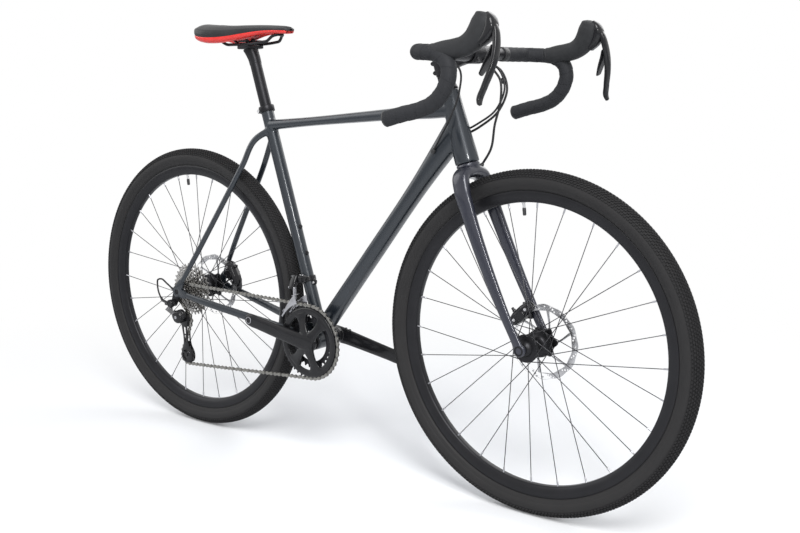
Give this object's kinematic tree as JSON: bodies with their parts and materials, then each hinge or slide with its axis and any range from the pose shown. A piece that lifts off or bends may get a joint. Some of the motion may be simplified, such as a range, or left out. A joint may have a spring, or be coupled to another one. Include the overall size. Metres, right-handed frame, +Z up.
{
  "type": "cyclocross bike",
  "caption": "Drop-bar off-road racing bike with disc brakes, knobbed tyres, double crankset, derailleur gears and a slim saddle.",
  "frame": {"origin": "on the ground midway between the wheel axles, in the bike's middle plane", "axes": "+X forwards along the bike, +Y to the rider's left, +Z up; the drive side faces -Y"},
  "size_m": [1.718, 0.498, 1.0215],
  "materials": {
    "slate_paint": "satin-gloss dark slate paint",
    "fork_paint": "satin-gloss dark slate paint",
    "tyre_rubber": "matte black rubber with a small-block tread",
    "rim_black": "satin black anodised",
    "hub_black": "satin black anodised hub and dark steel spokes",
    "rotor_steel": "brushed",
    "cassette_steel": "satin nickel plate",
    "chain_steel": "satin nickel plate",
    "ring_black": "satin black anodised",
    "crank_black": "gloss black",
    "black_alloy": "satin black anodised",
    "mech_steel": "bright satin steel",
    "pad_backing": "plain backed pad",
    "pulley_black": "matte black",
    "rail_steel": "satin steel",
    "saddle_red": "satin red",
    "saddle_black": "smooth satin cover",
    "lever_black": "gloss black",
    "grip_tape": "matte wrapped tape",
    "hood_rubber": "matte rubber",
    "hose_black": "smooth black sheath"
  },
  "bodies": {
    "frame": {"head_tube": "slate_paint", "seat_tube": "slate_paint", "top_tube": "slate_paint", "down_tube": "slate_paint", "right_chainstay": "slate_paint", "left_chainstay": "slate_paint", "right_seatstay": "slate_paint", "left_seatstay": "slate_paint", "seat_collar": "black_alloy", "rear_axle": "black_alloy", "rear_caliper": "black_alloy", "front_derailleur_clamp": "black_alloy", "rd_upper_knuckle": "black_alloy", "chain": "chain_steel", "derailleur_cable": "hose_black", "shift_cable": "hose_black", "rear_hose_and_cable": "hose_black"},
    "steering_assembly": {"fork": "fork_paint", "stem": "black_alloy", "handlebar": "black_alloy", "right_bar_tape": "grip_tape", "left_bar_tape": "grip_tape", "right_hood": "hood_rubber", "left_hood": "hood_rubber", "front_axle": "black_alloy", "front_caliper": "black_alloy", "front_brake_hose": "hose_black"},
    "front_wheel": {"front_tyre": "tyre_rubber", "front_rim": "rim_black", "front_hub": "hub_black", "front_rotor": "rotor_steel"},
    "rear_wheel": {"rear_tyre": "tyre_rubber", "rear_rim": "rim_black", "rear_hub": "hub_black", "rear_rotor": "rotor_steel"},
    "sprockets": {"cassette": "cassette_steel"},
    "crankset": {"right_crank": "crank_black", "left_crank": "crank_black", "outer_chainring": "ring_black", "inner_chainring": "ring_black"},
    "rd_outer_link": {"rd_outer_link": "mech_steel"},
    "rd_inner_link": {"rd_inner_link": "black_alloy"},
    "rd_knuckle": {"rd_lower_knuckle": "black_alloy"},
    "rd_cage": {"rd_cage": "black_alloy"},
    "guide_pulley": {"guide_pulley": "pulley_black"},
    "tension_pulley": {"tension_pulley": "pulley_black"},
    "fd_link": {"fd_link": "black_alloy"},
    "fd_cage": {"fd_cage": "mech_steel"},
    "left_lever": {"left_brake_lever": "lever_black"},
    "right_lever": {"right_brake_lever": "lever_black"},
    "left_paddle": {"left_shift_paddle": "lever_black"},
    "right_paddle": {"right_shift_paddle": "lever_black"},
    "front_inner_pad": {"front_inner_pad": "pad_backing"},
    "front_outer_pad": {"front_outer_pad": "pad_backing"},
    "rear_inner_pad": {"rear_inner_pad": "pad_backing"},
    "rear_outer_pad": {"rear_outer_pad": "pad_backing"},
    "post": {"seatpost": "black_alloy"},
    "saddle": {"saddle_rails": "rail_steel", "saddle_shell": "saddle_red", "saddle_cover": "saddle_black"}
  },
  "joints": [
    {"name": "steering", "type": "hinge", "parent": "frame", "child": "steering_assembly", "pos_m": [0.33318, 0, 0.72032], "axis": [-0.309, 0, 0.9511], "range_deg": [-70, 70], "deforming": ["shift_cable", "rear_hose_and_cable"]},
    {"name": "front_wheel_spin", "type": "hinge", "parent": "steering_assembly", "child": "front_wheel", "pos_m": [0.5, 0, 0.359], "axis": [0, 1, 0], "continuous": true},
    {"name": "rear_wheel_spin", "type": "hinge", "parent": "frame", "child": "rear_wheel", "pos_m": [-0.5, 0, 0.359], "axis": [0, 1, 0], "continuous": true},
    {"name": "crank_spin", "type": "hinge", "parent": "frame", "child": "crankset", "pos_m": [-0.07345, 0, 0.2875], "axis": [0, 1, 0], "continuous": true, "deforming": ["chain"]},
    {"name": "sprocket_spin", "type": "hinge", "parent": "frame", "child": "sprockets", "pos_m": [-0.5, 0, 0.359], "axis": [0, 1, 0], "continuous": true},
    {"name": "rd_shift", "type": "hinge", "parent": "frame", "child": "rd_outer_link", "pos_m": [-0.54888, -0.06586, 0.3063], "axis": [0.31, 0.6074, 0.7314], "range_deg": [0, 60], "deforming": ["chain"]},
    {"name": "rd_inner_swing", "type": "hinge", "parent": "frame", "child": "rd_inner_link", "pos_m": [-0.55148, -0.05712, 0.30014], "axis": [0.31, 0.6074, 0.7314], "range_deg": [0, 60]},
    {"name": "rd_knuckle_level", "type": "hinge", "parent": "rd_outer_link", "child": "rd_knuckle", "pos_m": [-0.5062, -0.08437, 0.30358], "axis": [0.31, 0.6074, 0.7314], "range_deg": [-60, 0]},
    {"name": "rd_cage_swing", "type": "hinge", "parent": "rd_knuckle", "child": "rd_cage", "pos_m": [-0.492, -0.0625, 0.296], "axis": [0, 1, 0], "range_deg": [-60, 10], "stiffness_Nm_per_rad": 0.12, "deforming": ["chain"]},
    {"name": "guide_spin", "type": "hinge", "parent": "rd_cage", "child": "guide_pulley", "pos_m": [-0.48598, -0.0625, 0.2874], "axis": [0, 1, 0], "continuous": true},
    {"name": "tension_spin", "type": "hinge", "parent": "rd_cage", "child": "tension_pulley", "pos_m": [-0.47941, -0.0625, 0.19579], "axis": [0, 1, 0], "continuous": true},
    {"name": "fd_shift", "type": "hinge", "parent": "frame", "child": "fd_link", "pos_m": [-0.129, -0.03, 0.433], "axis": [1, 0, 0], "range_deg": [0, 14], "deforming": ["chain"]},
    {"name": "fd_cage_level", "type": "hinge", "parent": "fd_link", "child": "fd_cage", "pos_m": [-0.129, -0.0455, 0.41], "axis": [1, 0, 0], "range_deg": [-14, 0]},
    {"name": "left_brake_pull", "type": "hinge", "parent": "steering_assembly", "child": "left_lever", "pos_m": [0.5225, 0.203, 0.988], "axis": [0, 1, 0], "range_deg": [0, 20], "stiffness_Nm_per_rad": 0.6},
    {"name": "left_shift_press", "type": "hinge", "parent": "left_lever", "child": "left_paddle", "pos_m": [0.5255, 0.2105, 0.952], "axis": [-1, 0, 0], "range_deg": [0, 22], "stiffness_Nm_per_rad": 0.15},
    {"name": "right_brake_pull", "type": "hinge", "parent": "steering_assembly", "child": "right_lever", "pos_m": [0.5225, -0.203, 0.988], "axis": [0, 1, 0], "range_deg": [0, 20], "stiffness_Nm_per_rad": 0.6},
    {"name": "right_shift_press", "type": "hinge", "parent": "right_lever", "child": "right_paddle", "pos_m": [0.5255, -0.2105, 0.952], "axis": [1, 0, 0], "range_deg": [0, 22], "stiffness_Nm_per_rad": 0.15},
    {"name": "front_inner_squeeze", "type": "slide", "parent": "steering_assembly", "child": "front_inner_pad", "axis": [0, 1, 0], "range_m": [0, 0.0005]},
    {"name": "front_outer_squeeze", "type": "slide", "parent": "steering_assembly", "child": "front_outer_pad", "axis": [0, -1, 0], "range_m": [0, 0.0005]},
    {"name": "rear_inner_squeeze", "type": "slide", "parent": "frame", "child": "rear_inner_pad", "axis": [0, 1, 0], "range_m": [0, 0.0005]},
    {"name": "rear_outer_squeeze", "type": "slide", "parent": "frame", "child": "rear_outer_pad", "axis": [0, -1, 0], "range_m": [0, 0.0005]},
    {"name": "post_height", "type": "slide", "parent": "frame", "child": "post", "axis": [-0.3024, 0, 0.9532], "range_m": [-0.02, 0.06]},
    {"name": "saddle_fore_aft", "type": "slide", "parent": "post", "child": "saddle", "axis": [0.999, 0, 0.0454], "range_m": [-0.015, 0.015]}
  ],
  "couplings": [
    {"joint": "sprocket_spin", "follows": "crank_spin", "ratio": 3.9091},
    {"joint": "guide_spin", "follows": "crank_spin", "ratio": -3.9091},
    {"joint": "tension_spin", "follows": "crank_spin", "ratio": 3.9091},
    {"joint": "rd_inner_swing", "follows": "rd_shift", "ratio": 1},
    {"joint": "rd_knuckle_level", "follows": "rd_shift", "ratio": -1},
    {"joint": "fd_cage_level", "follows": "fd_shift", "ratio": -1},
    {"joint": "front_inner_squeeze", "follows": "left_brake_pull", "m_per_rad": 0.0014324},
    {"joint": "front_outer_squeeze", "follows": "left_brake_pull", "m_per_rad": 0.0014324},
    {"joint": "rear_inner_squeeze", "follows": "right_brake_pull", "m_per_rad": 0.0014324},
    {"joint": "rear_outer_squeeze", "follows": "right_brake_pull", "m_per_rad": 0.0014324}
  ]
}
